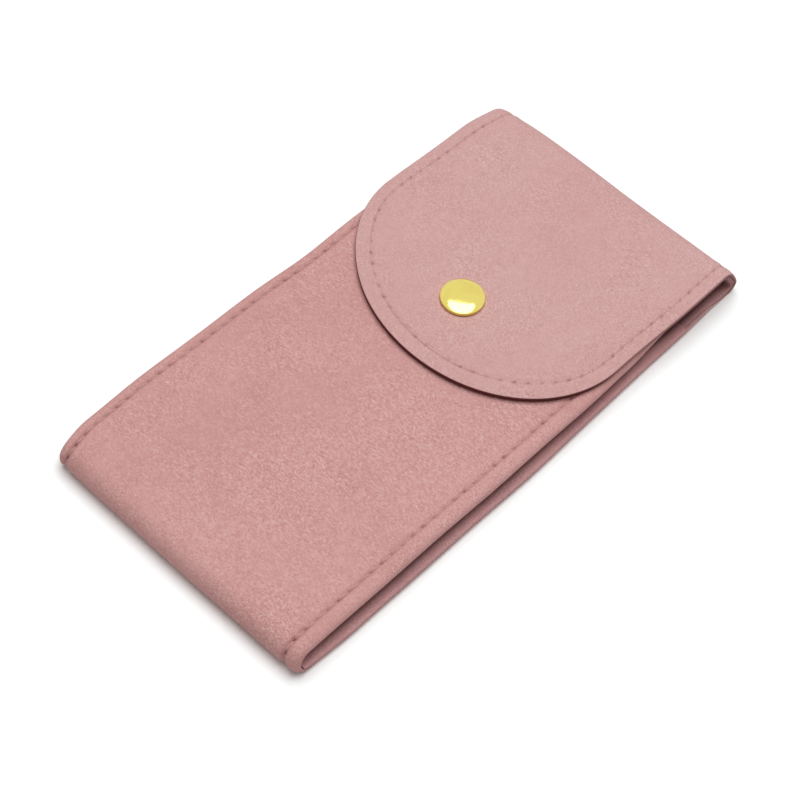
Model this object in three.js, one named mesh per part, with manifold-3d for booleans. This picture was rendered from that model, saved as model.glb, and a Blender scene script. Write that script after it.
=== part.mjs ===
// Slim snap pouch for one wristwatch, lying on its back, in millimetres.
// X runs across the pouch, +Y points to the fold of the flap, +Z points up.
// The origin is on the surface it lies on, below the middle of the pouch.
//
// One strip of suede with a suede lining makes the front panel, the bottom fold, the back panel,
// the top fold and the flap. Thin boards stiffen the three flat panels, a V-folded gusset closes
// each side, and a ring snap holds the flap down.

import * as THREE from 'three';
import { mergeVertices } from 'three/addons/utils/BufferGeometryUtils.js';
import Module from 'manifold-3d';

const wasm = await Module();
wasm.setup();

// Overall size
const pouchLength = 152;
const pouchWidth = 76.5;
const cavityHeight = 4.6;

// Layers of the strip
const skinThickness = 0.9;
const liningThickness = 0.9;
const edgeChamfer = 0.3;

// Stiffening boards, each in a pocket of its lining
const boardThickness = 0.4;
const boardSetIn = 6;
const boardPlay = 0.3;

// Front panel: a little narrower than the back, its mouth edge well below the fold of the flap
const frontSetIn = 0.75;
const mouthSetBack = 20.5;

// Flap: straight sides, then a tongue that is half an ellipse
const flapSetIn = 0.5;
const flapReach = 77.3;
const tongueLength = 31.5;
const flapClearance = 0.6;
const shoulderLap = 1;

// Fold of the flap: a tight curl at the back, below a round shoulder up to the level of the flap
const curlInnerRadius = 0.7;

// Side gussets
const gussetThickness = 0.8;
const gussetDepth = 12;
const gussetFlange = 5;

// Seams: the thread lies in a shallow groove
const bodySeamInset = 3.2;
const flapSeamInset = 2.8;
const stitchPitch = 3.3;
const grooveWidth = 1;
const grooveDepth = 0.5;
const threadWidth = 0.6;
const threadCrownWidth = 0.36;
const threadHump = 0.5;
const threadDip = 0.2;
const threadPlay = 0.05;

// Ring snap
const snapFromTip = 19;
const snapFromMiddle = -1.1;
const snapPlay = 0.2;
const capDiameter = 10.6;
const capHeight = 1.7;
const capRimHeight = 0.55;
const capPostDiameter = 2;
const clinchDiameter = 3.4;
const clinchThickness = 0.25;
const socketDiameter = 10;
const socketHeight = 1.3;
const socketWeb = 0.4;
const socketBore = 4.8;
const studBaseDiameter = 9;
const studBaseThickness = 0.4;
const studBallDiameter = 4.2;
const studTipDiameter = 3.2;
const studNeckDiameter = 3.6;
const studWall = 0.5;
const studTipPlay = 0.15;
const rivetHeadDiameter = 9;
const rivetHeadThickness = 0.4;
const rivetShankDiameter = 2.2;

// Fineness of the curved shapes
const foldSteps = 16;
const tongueSteps = 40;
const snapSides = 36;

// Levels of the layers above the resting surface
const stripThickness = skinThickness + liningThickness;
const backLiningLevel = skinThickness;
const cavityFloor = stripThickness;
const cavityRoof = cavityFloor + cavityHeight;
const frontBoardLevel = cavityRoof + liningThickness - boardThickness;
const frontSkinLevel = cavityRoof + liningThickness;
const frontTop = frontSkinLevel + skinThickness;
const flapLiningLevel = frontTop + flapClearance;
const flapBoardLevel = flapLiningLevel + liningThickness - boardThickness;
const flapSkinLevel = flapLiningLevel + liningThickness;
const flapTop = flapSkinLevel + skinThickness;

// Places along the pouch
const bottomRadius = frontTop / 2;
const panelStart = -pouchLength / 2 + bottomRadius;
const curlOuterRadius = curlInnerRadius + stripThickness;
const backEnd = pouchLength / 2 - curlOuterRadius;
const mouthEdge = pouchLength / 2 - mouthSetBack;
const shoulder = mouthEdge - shoulderLap;
const flapTip = pouchLength / 2 - flapReach;
const tongueStart = flapTip + tongueLength;
const snapPlace = flapTip + snapFromTip;

// Half widths
const backHalf = pouchWidth / 2;
const frontHalf = backHalf - frontSetIn;
const flapHalf = backHalf - flapSetIn;

// Materials

const suede = new THREE.MeshStandardMaterial({ name: 'suede', color: 0xcfa19d, roughness: 0.95, metalness: 0 });
const lining = new THREE.MeshStandardMaterial({ name: 'lining', color: 0xc8989a, roughness: 0.9, metalness: 0 });
const board = new THREE.MeshStandardMaterial({ name: 'board', color: 0xb9b2a8, roughness: 0.85, metalness: 0 });
const thread = new THREE.MeshStandardMaterial({ name: 'thread', color: 0xa8706f, roughness: 0.8, metalness: 0 });
const brass = new THREE.MeshStandardMaterial({ name: 'brass', color: 0xd9b23a, roughness: 0.22, metalness: 1 });

// Joining and cutting

function toSolid(geometry) {
  const bare = geometry.clone();
  bare.deleteAttribute('normal');
  bare.deleteAttribute('uv');
  const merged = mergeVertices(bare, 1e-5);
  return new wasm.Manifold(new wasm.Mesh({
    numProp: 3,
    vertProperties: new Float32Array(merged.attributes.position.array),
    triVerts: new Uint32Array(merged.index.array),
  }));
}

function toGeometry(solid) {
  const mesh = solid.getMesh();
  const geometry = new THREE.BufferGeometry();
  geometry.setAttribute('position', new THREE.BufferAttribute(new Float32Array(mesh.vertProperties), 3));
  geometry.setIndex(new THREE.BufferAttribute(new Uint32Array(mesh.triVerts), 1));
  geometry.computeVertexNormals();
  return geometry;
}

function cut(geometry, ...tools) {
  let solid = toSolid(geometry);
  for (const tool of tools) {
    solid = solid.subtract(toSolid(tool));
  }
  return toGeometry(solid);
}

// Basic shapes

function plate(points, thickness) {
  // An outline in X and Y, with its underside at height 0.
  const shape = new THREE.Shape(points.map(([x, y]) => new THREE.Vector2(x, y)));
  return new THREE.ExtrudeGeometry(shape, { depth: thickness, bevelEnabled: false });
}

function box(halfWidth, start, end, low, high) {
  // A block from start to end along Y and from low to high along Z, centred across the pouch.
  const geometry = new THREE.BoxGeometry(2 * halfWidth, end - start, high - low);
  geometry.translate(0, (start + end) / 2, (low + high) / 2);
  return geometry;
}

function alongPouch(section, start, end) {
  // A section in X and Z, drawn from start to end along Y.
  const geometry = plate(section, end - start);
  geometry.rotateX(Math.PI / 2);
  geometry.translate(0, end, 0);
  return geometry;
}

function acrossPouch(section, halfWidth) {
  // A section in Y and Z, drawn across the whole width.
  const geometry = plate(section, 2 * halfWidth);
  const across = new THREE.Matrix4().makeBasis(
    new THREE.Vector3(0, 1, 0),
    new THREE.Vector3(0, 0, 1),
    new THREE.Vector3(1, 0, 0),
  );
  geometry.applyMatrix4(across);
  geometry.translate(-halfWidth, 0, 0);
  return geometry;
}

function turned(profile) {
  // A profile of radius and height, turned about the vertical through the snap's centre.
  const points = profile.map(([radius, height]) => new THREE.Vector2(radius, height));
  const geometry = new THREE.LatheGeometry(points, snapSides);
  geometry.rotateX(Math.PI / 2);
  return toGeometry(toSolid(geometry));
}

function drill(radius, low, high) {
  // A round cutter at the snap's centre, from low to high.
  const geometry = new THREE.CylinderGeometry(radius, radius, high - low, snapSides);
  geometry.rotateX(Math.PI / 2);
  geometry.translate(snapFromMiddle, snapPlace, (low + high) / 2);
  return geometry;
}

function arc(centreAlong, centreUp, radius, from, to, steps) {
  // Points on an arc in Y and Z, with the angles in degrees, 0 along +Y and 90 up.
  const points = [];
  for (let i = 0; i <= steps; i += 1) {
    const angle = THREE.MathUtils.degToRad(from + ((to - from) * i) / steps);
    points.push([centreAlong + radius * Math.cos(angle), centreUp + radius * Math.sin(angle)]);
  }
  return points;
}

// Outline of the flap, moved in by a distance from its edge

function flapEdge(inset) {
  const points = [[-flapHalf + inset, shoulder]];
  for (let i = 0; i <= tongueSteps; i += 1) {
    const angle = Math.PI + (Math.PI * i) / tongueSteps;
    const x = flapHalf * Math.cos(angle);
    const y = tongueLength * Math.sin(angle);
    const outward = new THREE.Vector2(Math.cos(angle) / flapHalf, Math.sin(angle) / tongueLength).normalize();
    points.push([x - inset * outward.x, tongueStart + y - inset * outward.y]);
  }
  points.push([flapHalf - inset, shoulder]);
  return points;
}

// Seams

function flapGroove() {
  const outer = flapEdge(flapSeamInset - grooveWidth / 2);
  const inner = flapEdge(flapSeamInset + grooveWidth / 2);
  outer[0][1] += grooveWidth;
  outer[outer.length - 1][1] += grooveWidth;
  inner[0][1] += grooveWidth;
  inner[inner.length - 1][1] += grooveWidth;
  return plate([...outer, ...inner.reverse()], 2 * grooveDepth);
}

function stepAlong(points, steps) {
  // The same line in a number of equal steps.
  const line = new THREE.CurvePath();
  for (let i = 1; i < points.length; i += 1) {
    line.add(new THREE.LineCurve(new THREE.Vector2(...points[i - 1]), new THREE.Vector2(...points[i])));
  }
  return line.getSpacedPoints(steps);
}

function lengthOf(points) {
  let total = 0;
  for (let i = 1; i < points.length; i += 1) {
    total += Math.hypot(points[i][0] - points[i - 1][0], points[i][1] - points[i - 1][1]);
  }
  return total;
}

function stitches(points) {
  // A thread along a line in X and Y: one hump a stitch, and a dip where it goes through the cloth.
  const count = Math.max(2, Math.round(lengthOf(points) / stitchPitch));
  const stops = stepAlong(points, 2 * count);
  const positions = [];
  stops.forEach((stop, i) => {
    const before = stops[Math.max(i - 1, 0)];
    const after = stops[Math.min(i + 1, stops.length - 1)];
    const side = new THREE.Vector2(before.y - after.y, after.x - before.x).normalize();
    const top = i % 2 === 1 ? threadHump : threadDip;
    const foot = threadWidth / 2;
    const crown = threadCrownWidth / 2;
    for (const [across, up] of [[-foot, 0], [foot, 0], [crown, top], [-crown, top]]) {
      positions.push(stop.x - side.x * across, stop.y - side.y * across, up);
    }
  });
  const faces = [];
  for (let i = 0; i < stops.length - 1; i += 1) {
    for (let corner = 0; corner < 4; corner += 1) {
      const a = 4 * i + corner;
      const b = 4 * i + ((corner + 1) % 4);
      faces.push(a, a + 4, b, b, a + 4, b + 4);
    }
  }
  const last = 4 * (stops.length - 1);
  faces.push(0, 1, 2, 0, 2, 3, last, last + 2, last + 1, last, last + 3, last + 2);
  const geometry = new THREE.BufferGeometry();
  geometry.setAttribute('position', new THREE.Float32BufferAttribute(positions, 3));
  geometry.setIndex(faces);
  geometry.computeVertexNormals();
  return geometry;
}

function sideSeam(across, start, end) {
  const count = Math.max(2, Math.floor((end - start) / stitchPitch));
  const spare = (end - start - count * stitchPitch) / 2;
  return stitches([[across, start + spare], [across, end - spare]]);
}

// Sections of the flat panels across the pouch, with the outer long edges chamfered

function skinSection(halfWidth) {
  const groove = halfWidth - bodySeamInset;
  const right = [
    [halfWidth, 0],
    [halfWidth, skinThickness - edgeChamfer],
    [halfWidth - edgeChamfer, skinThickness],
    [groove + grooveWidth / 2, skinThickness],
    [groove + grooveWidth / 2, skinThickness - grooveDepth],
    [groove - grooveWidth / 2, skinThickness - grooveDepth],
    [groove - grooveWidth / 2, skinThickness],
  ];
  const left = right.map(([x, z]) => [-x, z]).reverse();
  return [...right, ...left];
}

function liningPanel(halfWidth, start, end) {
  // Lining with its clean face down at height 0, and a pocket for the board in its upper face.
  const sheet = box(halfWidth, start, end, 0, liningThickness);
  const pocket = box(
    halfWidth - boardSetIn + boardPlay,
    start + boardSetIn - boardPlay,
    end - boardSetIn + boardPlay,
    liningThickness - boardThickness,
    2 * liningThickness,
  );
  return cut(sheet, pocket);
}

function boardPanel(halfWidth, start, end) {
  return box(halfWidth - boardSetIn, start + boardSetIn, end - boardSetIn, 0, boardThickness);
}

// Back panel: the skin lies on the surface, so the skin and the lining are both turned over

function backPanel(group) {
  const skin = alongPouch(skinSection(backHalf), panelStart, backEnd);
  skin.rotateY(Math.PI);
  addMesh(group, 'back_skin', skin, suede, skinThickness);
  const sheet = liningPanel(backHalf, panelStart, backEnd);
  sheet.rotateY(Math.PI);
  addMesh(group, 'back_lining', sheet, lining, backLiningLevel + liningThickness);
  addMesh(group, 'back_board', boardPanel(backHalf, panelStart, backEnd), board, backLiningLevel);
  for (const [name, side] of [['back_left_thread', -1], ['back_right_thread', 1]]) {
    const seam = sideSeam(0, panelStart, backEnd);
    seam.rotateY(Math.PI);
    const mesh = addMesh(group, name, seam, thread, grooveDepth - threadPlay);
    mesh.position.x = side * (backHalf - bodySeamInset);
  }
}

// Bottom fold: a half ring of skin outside a half ring of lining

function bottomFold(group) {
  const layers = [
    ['bottom_fold_skin', bottomRadius, bottomRadius - skinThickness, suede],
    ['bottom_fold_lining', bottomRadius - skinThickness, bottomRadius - stripThickness, lining],
  ];
  for (const [name, outer, inner, material] of layers) {
    const section = [
      ...arc(0, 0, outer, 90, 270, foldSteps),
      ...arc(0, 0, inner, 270, 90, foldSteps),
    ];
    const mesh = addMesh(group, name, acrossPouch(section, frontHalf), material, bottomRadius);
    mesh.position.y = panelStart;
  }
}

// Top fold and neck of the flap: the middle line is a tight curl, a round shoulder and a level stretch

function neckEdge(offset) {
  // A line beside the middle line, offset outwards, from the back panel round to the flap.
  const flapMiddle = (flapLiningLevel + flapTop) / 2;
  const curlRadius = curlInnerRadius + stripThickness / 2;
  const shoulderRadius = flapMiddle - curlOuterRadius;
  const shoulderCentre = backEnd + curlRadius - shoulderRadius;
  return [
    ...arc(backEnd, curlOuterRadius, curlRadius + offset, -90, 0, foldSteps / 2),
    ...arc(shoulderCentre, curlOuterRadius, shoulderRadius + offset, 0, 90, foldSteps).slice(1),
    [shoulder, flapMiddle + offset],
  ];
}

function topFold(group) {
  const outside = stripThickness / 2;
  const between = outside - skinThickness;
  const layers = [
    ['top_fold_skin', outside, between, suede],
    ['top_fold_lining', between, -outside, lining],
  ];
  for (const [name, outer, inner, material] of layers) {
    const section = [...neckEdge(outer), ...neckEdge(inner).reverse()];
    addMesh(group, name, acrossPouch(section, flapHalf), material, 0);
  }
}

// Side gussets: a V with its point inwards and a flange against the lining above and below

function gussetSection(side) {
  const bend = frontHalf - gussetFlange;
  const point = frontHalf - gussetDepth;
  const middle = cavityHeight / 2;
  const points = [
    [backHalf, 0],
    [backHalf, gussetThickness],
    [bend, gussetThickness],
    [point + gussetThickness, middle],
    [bend, cavityHeight - gussetThickness],
    [frontHalf, cavityHeight - gussetThickness],
    [frontHalf, cavityHeight],
    [bend, cavityHeight],
    [point - gussetThickness / 2, middle],
    [bend, 0],
  ];
  return points.map(([x, z]) => [side * x, z]);
}

function gussets(group) {
  for (const [name, side] of [['left_gusset', -1], ['right_gusset', 1]]) {
    addMesh(group, name, alongPouch(gussetSection(side), panelStart, mouthEdge), suede, cavityFloor);
  }
}

// Front panel

function frontPanel(group) {
  const hole = studBarrelRadius() + snapPlay;
  const mouthSeam = mouthEdge - bodySeamInset;
  const seamEnd = frontHalf - bodySeamInset - stitchPitch;

  const mouthGroove = box(
    frontHalf - bodySeamInset,
    mouthSeam - grooveWidth / 2,
    mouthSeam + grooveWidth / 2,
    skinThickness - grooveDepth,
    2 * skinThickness,
  );
  const skin = cut(
    alongPouch(skinSection(frontHalf), panelStart, mouthEdge),
    mouthGroove,
    drill(studBaseDiameter / 2 + snapPlay, skinThickness - studBaseThickness, 2 * skinThickness),
    drill(hole, -skinThickness, 2 * skinThickness),
  );
  addMesh(group, 'front_skin', skin, suede, frontSkinLevel);

  const sheet = cut(
    liningPanel(frontHalf, panelStart, mouthEdge),
    drill(rivetHeadDiameter / 2 + snapPlay, -liningThickness, 2 * liningThickness),
  );
  addMesh(group, 'front_lining', sheet, lining, cavityRoof);

  const stiffener = cut(
    boardPanel(frontHalf, panelStart, mouthEdge),
    drill(hole, -boardThickness, 2 * boardThickness),
  );
  addMesh(group, 'front_board', stiffener, board, frontBoardLevel);

  const threadLevel = frontTop - grooveDepth + threadPlay;
  for (const [name, side] of [['front_left_thread', -1], ['front_right_thread', 1]]) {
    const seam = sideSeam(side * (frontHalf - bodySeamInset), panelStart, mouthSeam);
    addMesh(group, name, seam, thread, threadLevel);
  }
  addMesh(group, 'mouth_thread', stitches([[-seamEnd, mouthSeam], [seamEnd, mouthSeam]]), thread, threadLevel);
}

// Flap

function flapPanel(group) {
  const socketHole = drill(socketDiameter / 2 + snapPlay, -socketHeight, socketHeight - liningThickness);
  const postHole = drill(capPostDiameter / 2 + snapPlay, -skinThickness, 2 * skinThickness);
  const groove = flapGroove();
  groove.translate(0, 0, skinThickness - grooveDepth);
  addMesh(group, 'flap_skin', cut(plate(flapEdge(0), skinThickness), groove, socketHole, postHole), suede, flapSkinLevel);

  const boardOutline = flapEdge(boardSetIn);
  const pocketOutline = flapEdge(boardSetIn - boardPlay);
  for (const end of [0, boardOutline.length - 1]) {
    boardOutline[end][1] -= boardSetIn;
    pocketOutline[end][1] -= boardSetIn - boardPlay;
  }
  const pocket = plate(pocketOutline, liningThickness);
  pocket.translate(0, 0, liningThickness - boardThickness);
  const throughHole = drill(socketDiameter / 2 + snapPlay, -liningThickness, 2 * liningThickness);
  const sheet = cut(plate(flapEdge(0), liningThickness), pocket, throughHole);
  addMesh(group, 'flap_lining', sheet, lining, flapLiningLevel);
  addMesh(group, 'flap_board', cut(plate(boardOutline, boardThickness), throughHole), board, flapBoardLevel);

  const path = flapEdge(flapSeamInset);
  path[0][1] -= threadWidth;
  path[path.length - 1][1] -= threadWidth;
  addMesh(group, 'flap_thread', stitches(path), thread, flapTop - grooveDepth + threadPlay);
}

// Ring snap: cap and socket clamp the flap, stud and rivet clamp the front panel

function studBarrelRadius() {
  return rivetShankDiameter / 2 + snapPlay + studWall;
}

function snapCap() {
  // A low dome with a rolled rim, and a post whose end is spread below the socket's web.
  const post = flapTop - (flapLiningLevel + socketHeight - socketWeb);
  const rim = capDiameter / 2;
  const dome = capHeight - capRimHeight;
  const profile = [
    [0, -post - clinchThickness],
    [clinchDiameter / 2, -post - clinchThickness],
    [clinchDiameter / 2, -post],
    [capPostDiameter / 2, -post],
    [capPostDiameter / 2, 0],
    [rim - capRimHeight / 3, 0],
    [rim, capRimHeight / 3],
    [rim, (2 * capRimHeight) / 3],
    [rim - capRimHeight / 3, capRimHeight],
  ];
  const crown = 6;
  for (let i = 1; i < crown; i += 1) {
    const angle = (i / crown) * (Math.PI / 2);
    profile.push([(rim - capRimHeight / 3) * Math.cos(angle), capRimHeight + dome * Math.sin(angle)]);
  }
  profile.push([0, capHeight]);
  return turned(profile);
}

function snapSocket() {
  // A ring with a blind bore from below and a hole for the cap's post through its web.
  const bore = socketBore / 2;
  const outer = socketDiameter / 2;
  const postHole = capPostDiameter / 2 + snapPlay / 2;
  const bevel = socketWeb / 2;
  return turned([
    [bore, 0],
    [outer - bevel, 0],
    [outer, bevel],
    [outer, socketHeight],
    [postHole, socketHeight],
    [postHole, socketHeight - socketWeb],
    [bore, socketHeight - socketWeb],
    [bore, 0],
  ]);
}

function snapStud() {
  // A base disc on the front panel, a ball above it, and a hollow barrel down through the panel.
  const boreDepth = socketHeight - socketWeb;
  const rise = flapClearance + boreDepth - clinchThickness - studTipPlay;
  const ball = studBallDiameter / 2;
  const neck = studNeckDiameter / 2;
  const base = studBaseDiameter / 2;
  const barrel = studBarrelRadius();
  const down = frontBoardLevel - frontTop;
  const bore = barrel - studWall;
  return turned([
    [bore, down],
    [barrel, down],
    [barrel, -studBaseThickness],
    [base, -studBaseThickness],
    [base, -studBaseThickness / 2],
    [base - studBaseThickness / 2, 0],
    [neck, 0],
    [ball, rise / 3],
    [ball, (2 * rise) / 3],
    [studTipDiameter / 2, rise],
    [0, rise],
    [0, rise - studWall],
    [bore, rise - studWall],
    [bore, down],
  ]);
}

function snapRivet() {
  // A flat head in the lining and a shank up inside the stud.
  const boreDepth = socketHeight - socketWeb;
  const studTop = frontTop + flapClearance + boreDepth - clinchThickness - studTipPlay;
  const shank = studTop - studWall - studTipPlay - frontBoardLevel;
  return turned([
    [0, -rivetHeadThickness],
    [rivetHeadDiameter / 2 - rivetHeadThickness / 2, -rivetHeadThickness],
    [rivetHeadDiameter / 2, -rivetHeadThickness / 2],
    [rivetHeadDiameter / 2, 0],
    [rivetShankDiameter / 2, 0],
    [rivetShankDiameter / 2, shank],
    [0, shank],
  ]);
}

function addSnapPiece(group, name, geometry, level) {
  const mesh = addMesh(group, name, geometry, brass, level);
  mesh.position.x = snapFromMiddle;
  mesh.position.y = snapPlace;
}

// The whole pouch

function addMesh(group, name, geometry, material, level) {
  const mesh = new THREE.Mesh(geometry, material);
  mesh.name = name;
  mesh.position.z = level;
  group.add(mesh);
  return mesh;
}

function backBody() {
  const group = new THREE.Group();
  backPanel(group);
  bottomFold(group);
  topFold(group);
  gussets(group);
  return group;
}

function frontBody() {
  const group = new THREE.Group();
  frontPanel(group);
  addSnapPiece(group, 'snap_stud', snapStud(), frontTop);
  addSnapPiece(group, 'snap_rivet', snapRivet(), frontBoardLevel);
  return group;
}

function flapBody() {
  const group = new THREE.Group();
  flapPanel(group);
  addSnapPiece(group, 'snap_cap', snapCap(), flapTop);
  addSnapPiece(group, 'snap_socket', snapSocket(), flapLiningLevel);
  return group;
}

const pouch = new THREE.Group();
pouch.name = 'watch_pouch';
pouch.add(backBody(), frontBody(), flapBody());

export default pouch;
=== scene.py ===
"""The looks of a slim suede snap pouch for one wristwatch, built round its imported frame.

Each ply of cloth is laid out flat, across (x) and along (s), and folded round the pouch's path.
Shapes are worked out in millimetres and made into meshes in metres.
"""

import math

import bpy
import numpy as np
from mathutils import Matrix, Vector


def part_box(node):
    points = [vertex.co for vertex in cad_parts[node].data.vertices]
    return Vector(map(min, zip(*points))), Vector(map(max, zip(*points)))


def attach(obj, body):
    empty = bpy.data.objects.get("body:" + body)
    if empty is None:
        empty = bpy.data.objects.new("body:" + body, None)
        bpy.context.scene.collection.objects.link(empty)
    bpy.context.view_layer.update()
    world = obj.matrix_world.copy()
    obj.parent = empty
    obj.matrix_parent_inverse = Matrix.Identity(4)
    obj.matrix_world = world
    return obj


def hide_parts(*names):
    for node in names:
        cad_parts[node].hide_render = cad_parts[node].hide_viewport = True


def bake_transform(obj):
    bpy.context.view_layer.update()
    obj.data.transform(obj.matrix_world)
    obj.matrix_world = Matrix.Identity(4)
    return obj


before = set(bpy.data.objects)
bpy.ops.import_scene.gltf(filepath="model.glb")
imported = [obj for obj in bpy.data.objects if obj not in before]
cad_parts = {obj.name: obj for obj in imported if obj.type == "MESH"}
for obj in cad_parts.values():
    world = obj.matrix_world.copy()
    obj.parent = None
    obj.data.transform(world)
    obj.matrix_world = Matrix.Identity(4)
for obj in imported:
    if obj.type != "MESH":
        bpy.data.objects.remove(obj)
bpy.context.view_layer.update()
MM = 0.001


# Sizes read from the frame


def box_mm(node):
    low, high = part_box(node)
    return np.array(low) / MM, np.array(high) / MM


def half_width(node):
    low, high = box_mm(node)
    return (high[0] - low[0]) / 2


back_low, back_high = box_mm("back_skin")
flap_low, flap_high = box_mm("flap_skin")
cap_low, cap_high = box_mm("snap_cap")
front_high, lining_high = box_mm("front_skin")[1], box_mm("back_lining")[1]

SKIN = back_high[2]
LINING = lining_high[2] - SKIN
BACK_HALF, FRONT_HALF, FLAP_HALF = back_high[0], front_high[0], flap_high[0]
PANEL_START, BACK_END, MOUTH = back_low[1], back_high[1], front_high[1]
FLAP_TIP = flap_low[1]
FRONT_TOP, FLAP_TOP = front_high[2], flap_high[2]
FLAP_MIDDLE = FLAP_TOP - SKIN
CURL_OUTER = box_mm("top_fold_skin")[1][1] - BACK_END
CAVITY_FLOOR = lining_high[2]
CAVITY_ROOF = FRONT_TOP - SKIN - LINING
CAVITY_MIDDLE = (CAVITY_FLOOR + CAVITY_ROOF) / 2
SNAP = (cap_low[:2] + cap_high[:2]) / 2
CAP_RADIUS, SOCKET_RADIUS = half_width("snap_cap"), half_width("snap_socket")
STUD_RADIUS, RIVET_RADIUS = half_width("snap_stud"), half_width("snap_rivet")

# Sizes of the cloth that the boxes of the frame don't show: the back panel's edge stands out past
# the front's as a lip, and the flap lies a little askew
TONGUE_LENGTH = 31.5
TIP_REACH = 0.75
LIP, LIP_FADE, NECK_FADE = 0.95, 1.1, 0.8
FLAP_SET_IN = 0.3
NECK_LEAN, LEAN = -0.05, -0.65
CURL_TURN, WALL_TURN, WALL_LENGTH = 115, 15, 5.6
SKEW = 0.034
RIM_SAG = 0.5
RIM_THINNING = 0.15
FRONT_TUCK, FOLD_TUCK, FRONT_SPREAD = 1.3, 0.65, 0.45
WAVER, WAVES = 0.05, 0.09
BODY_SEAM, FRONT_RIGHT_SEAM = 2.8, 3.8
FLAP_SEAM, TIP_SEAM = 3.2, 3.9
PITCH = 3.3
BOARD_SET_IN = 5.7
BOARD_DEPTH = 0.42
BOARD_PLAY = 0.3
GUSSET_THICKNESS, GUSSET_FLANGE, GUSSET_WIDTH, GUSSET_ROUND = 0.8, 5.0, 27.6, 0.9

# How the settled cloth leaves straight lines: the folds bow, and the left side draws in
BOW, RIGHT_BOW, LEFT_CORNER, RIGHT_CORNER, LOW_CORNERS = 0.15, 0.55, 1.5, 0.1, 0.4
LOW_DRAW, LOW_CORNER_DRAW, TOP_DRAW, WAIST_DRAW = 0.9, 1.8, 1.6, 0.55

# Edges: the body's edge is turned round the lining, the flap's edge is cut
ROLL_RADIUS = 1.5
ROLL_ANGLES = np.radians([90, 72, 54, 36, 18, 0])
CUT_INSETS = np.array([0.16, 0.3, 0.5, 0.8, 1.2, 1.6])
CUT_DROPS = np.array([0.10, 0.04, 0.015, 0.0, 0.0, 0.0])
RIM_STEPS = np.array([0.12, 0.5, 0.88])
RIM_BULGE = np.array([0.12, 0.16, 0.12])
SEAM_RINGS = np.array([-1.05, -0.7, -0.42, -0.2, 0.0, 0.2, 0.42, 0.7, 1.05, 1.6])
EDGE_RINGS = len(ROLL_ANGLES)
RINGS = EDGE_RINGS + len(SEAM_RINGS)
TURN_START, TURN_END = 12.0, 2.0
LINING_SET_IN = 0.95
PLY_STEP = 0.12
NO_SEAM = 99.0

# How much shade is painted into the cloth's colour where other cloth shades it
PLY_LINE_SHADE, SLOT_SHADE, NECK_SHADE, MOUTH_EDGE_SHADE = 0.8, 0.9, 0.92, 0.6
NECK_EDGE_SHADE, TONGUE_EDGE_SHADE = 0.45, 0.92

# Seams: a groove with a pit at each needle hole
BODY_GROOVE = 0.28
FLAP_GROOVE = 0.06
GROOVE_WIDTH = 0.62
PIT_DEPTH = 0.3
FLAP_PIT, BODY_PIT = 0.6, 0.75
PIT_WIDTH = 0.28
# Pits are darkened in colour: painted shade, partly the pressed nap's own darker tone
FLAP_PIT_SHADE, BODY_PIT_SHADE = 0.55, 0.5
PUFF = 0.14
FLAP_DENT, FRONT_DENT = 0.25, 0.42
THREAD_RADIUS, THREAD_DIVE, THREAD_SLANT = 0.23, 0.8, 0.16
BACK_SINK, FLAP_SINK, FRONT_SINK, FOLD_SINK, LINING_SINK = 0.3, 0.18, 0.26, 0.3, 0.13

# Fineness of the cloth's mesh
FINE = 4
ROW, LINING_ROW = 1.2, 1.8
CORE_COLUMNS = 46
TONGUE_ROWS = 23
PATCH_CELLS = 6
PATCH_RINGS = 16


def smooth(value, low, high):
    """0 below low, 1 above high, and a soft step between."""
    t = np.clip((np.asarray(value, float) - low) / (high - low), 0, 1)
    return t * t * (3 - 2 * t)


def mix(a, b, share):
    return a + (b - a) * share


def unit(vectors):
    return vectors / np.linalg.norm(vectors, axis=-1)[:, None]


def bell(off, width):
    """1 in the middle, falling softly to both sides."""
    return np.exp(-((off / width) ** 2))


# The path of the strip in Y and Z


class Path:
    """The line between skin and lining, from straight and round stretches of (length, turn in degrees)."""

    def __init__(self, start, heading, skin_side, stretches, ease):
        self.skin_side, self.ease = skin_side, ease
        self.stretches = []
        place, angle, at = start, math.radians(heading), 0.0
        for length, turn in stretches:
            bend = math.radians(turn) / length
            self.stretches.append((at, place, angle, bend))
            place = self.walk(place, angle, bend, length)
            angle += bend * length
            at += length

    @staticmethod
    def walk(place, angle, bend, length):
        if abs(bend) < 1e-9:
            return place[0] + length * np.cos(angle), place[1] + length * np.sin(angle)
        end = angle + bend * length
        return (
            place[0] + (np.sin(end) - np.sin(angle)) / bend,
            place[1] - (np.cos(end) - np.cos(angle)) / bend,
        )

    def locate(self, s):
        """Place and outward direction in Y and Z at a length s along the path."""
        y, z, angle = np.zeros((3, *s.shape))
        for at, place, start_angle, bend in self.stretches:
            here = s >= at if at > 0 else np.ones(s.shape, bool)
            y[here], z[here] = self.walk(place, start_angle, bend, s[here] - at)
            angle[here] = start_angle + bend * (s[here] - at)
        return y, z, -self.skin_side * np.sin(angle), self.skin_side * np.cos(angle)

    def fold(self, flat, h):
        """Points of the flat cloth folded round the path, h above the line between skin and lining."""
        y, z, out_y, out_z = self.locate(flat[..., 1])
        aside, along, sag = self.ease(flat[..., 0], flat[..., 1])
        x, y, h = flat[..., 0] + aside, y + along, h - sag
        return settle(np.stack([x, y + h * out_y, z + h * out_z], axis=-1))


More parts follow.
